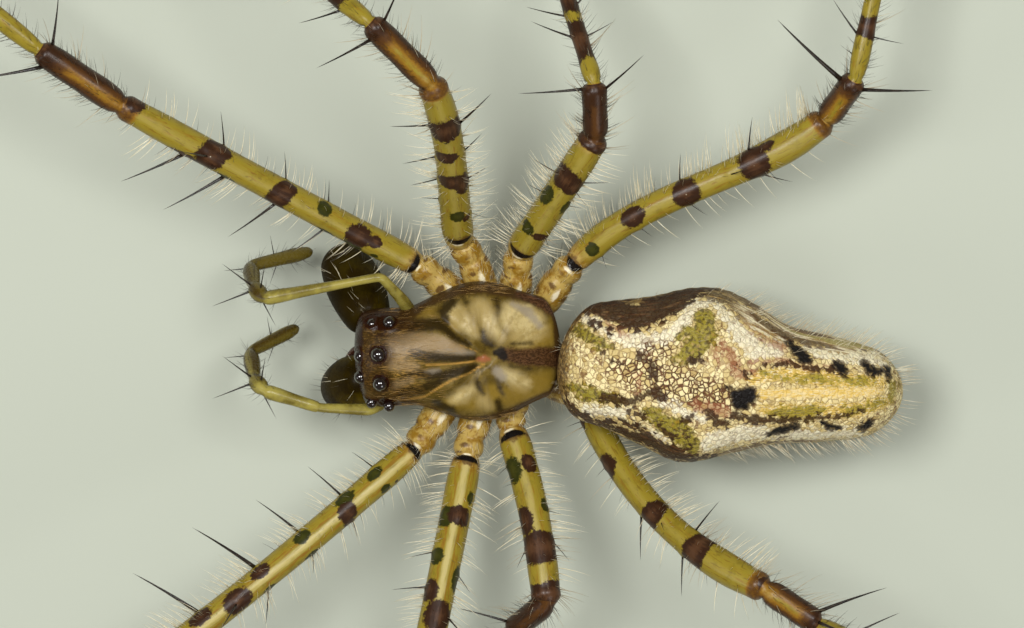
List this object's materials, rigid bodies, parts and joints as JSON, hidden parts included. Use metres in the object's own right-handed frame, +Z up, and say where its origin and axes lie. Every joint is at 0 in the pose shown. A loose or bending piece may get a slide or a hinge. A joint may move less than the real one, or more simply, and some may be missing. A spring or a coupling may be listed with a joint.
{
  "type": "tetragnatha quasimodo spider",
  "caption": "Life-size still model of a long-jawed spiny-leg spider standing with its legs spread: banded yellow legs, humped marbled abdomen.",
  "frame": {"origin": "middle of the footprint of the eight legs, on the floor under the feet", "axes": "+Z up, the head looks along -X and the animal's right side is +Y"},
  "size_m": [0.0318, 0.0284, 0.0056],
  "materials": {
    "carapace": "olive gold shell with dark stripes, satin gloss, fine pale hairs",
    "abdomen": "cream mosaic with olive and black marks, soft satin, pale hairs",
    "underside": "dark olive brown, satin",
    "chelicerae": "olive brown, smooth gloss",
    "palps": "translucent yellow olive, darker tips, gloss",
    "legs": "straw yellow with purple brown bands and black spines, satin gloss",
    "eyes": "black lens, wet gloss"
  },
  "bodies": {
    "root": {"carapace": "carapace", "abdomen": "abdomen", "spinnerets": "abdomen", "sternum": "underside", "mouthparts": "underside", "chelicera_r": "chelicerae", "palp_r_femur": "palps", "palp_r_tarsus": "palps", "chelicera_l": "chelicerae", "palp_l_femur": "palps", "palp_l_tarsus": "palps", "eye_ame_r": "eyes", "eye_ame_l": "eyes", "eye_pme_r": "eyes", "eye_pme_l": "eyes", "eye_ale_r": "eyes", "eye_ale_l": "eyes", "eye_ple_r": "eyes", "eye_ple_l": "eyes", "leg_r1_coxa": "legs", "leg_r1_femur": "legs", "leg_r1_patella": "legs", "leg_r1_tibia": "legs", "leg_r1_tarsus": "legs", "leg_r2_coxa": "legs", "leg_r2_femur": "legs", "leg_r2_patella": "legs", "leg_r2_tibia": "legs", "leg_r2_tarsus": "legs", "leg_r3_coxa": "legs", "leg_r3_femur": "legs", "leg_r3_patella": "legs", "leg_r3_tibia": "legs", "leg_r3_tarsus": "legs", "leg_r4_coxa": "legs", "leg_r4_femur": "legs", "leg_r4_patella": "legs", "leg_r4_tibia": "legs", "leg_r4_tarsus": "legs", "leg_l1_coxa": "legs", "leg_l1_femur": "legs", "leg_l1_patella": "legs", "leg_l1_tibia": "legs", "leg_l1_tarsus": "legs", "leg_l2_coxa": "legs", "leg_l2_femur": "legs", "leg_l2_patella": "legs", "leg_l2_tibia": "legs", "leg_l2_tarsus": "legs", "leg_l3_coxa": "legs", "leg_l3_femur": "legs", "leg_l3_patella": "legs", "leg_l3_tibia": "legs", "leg_l3_tarsus": "legs", "leg_l4_coxa": "legs", "leg_l4_femur": "legs", "leg_l4_patella": "legs", "leg_l4_tibia": "legs", "leg_l4_tarsus": "legs"}
  },
  "joints": []
}
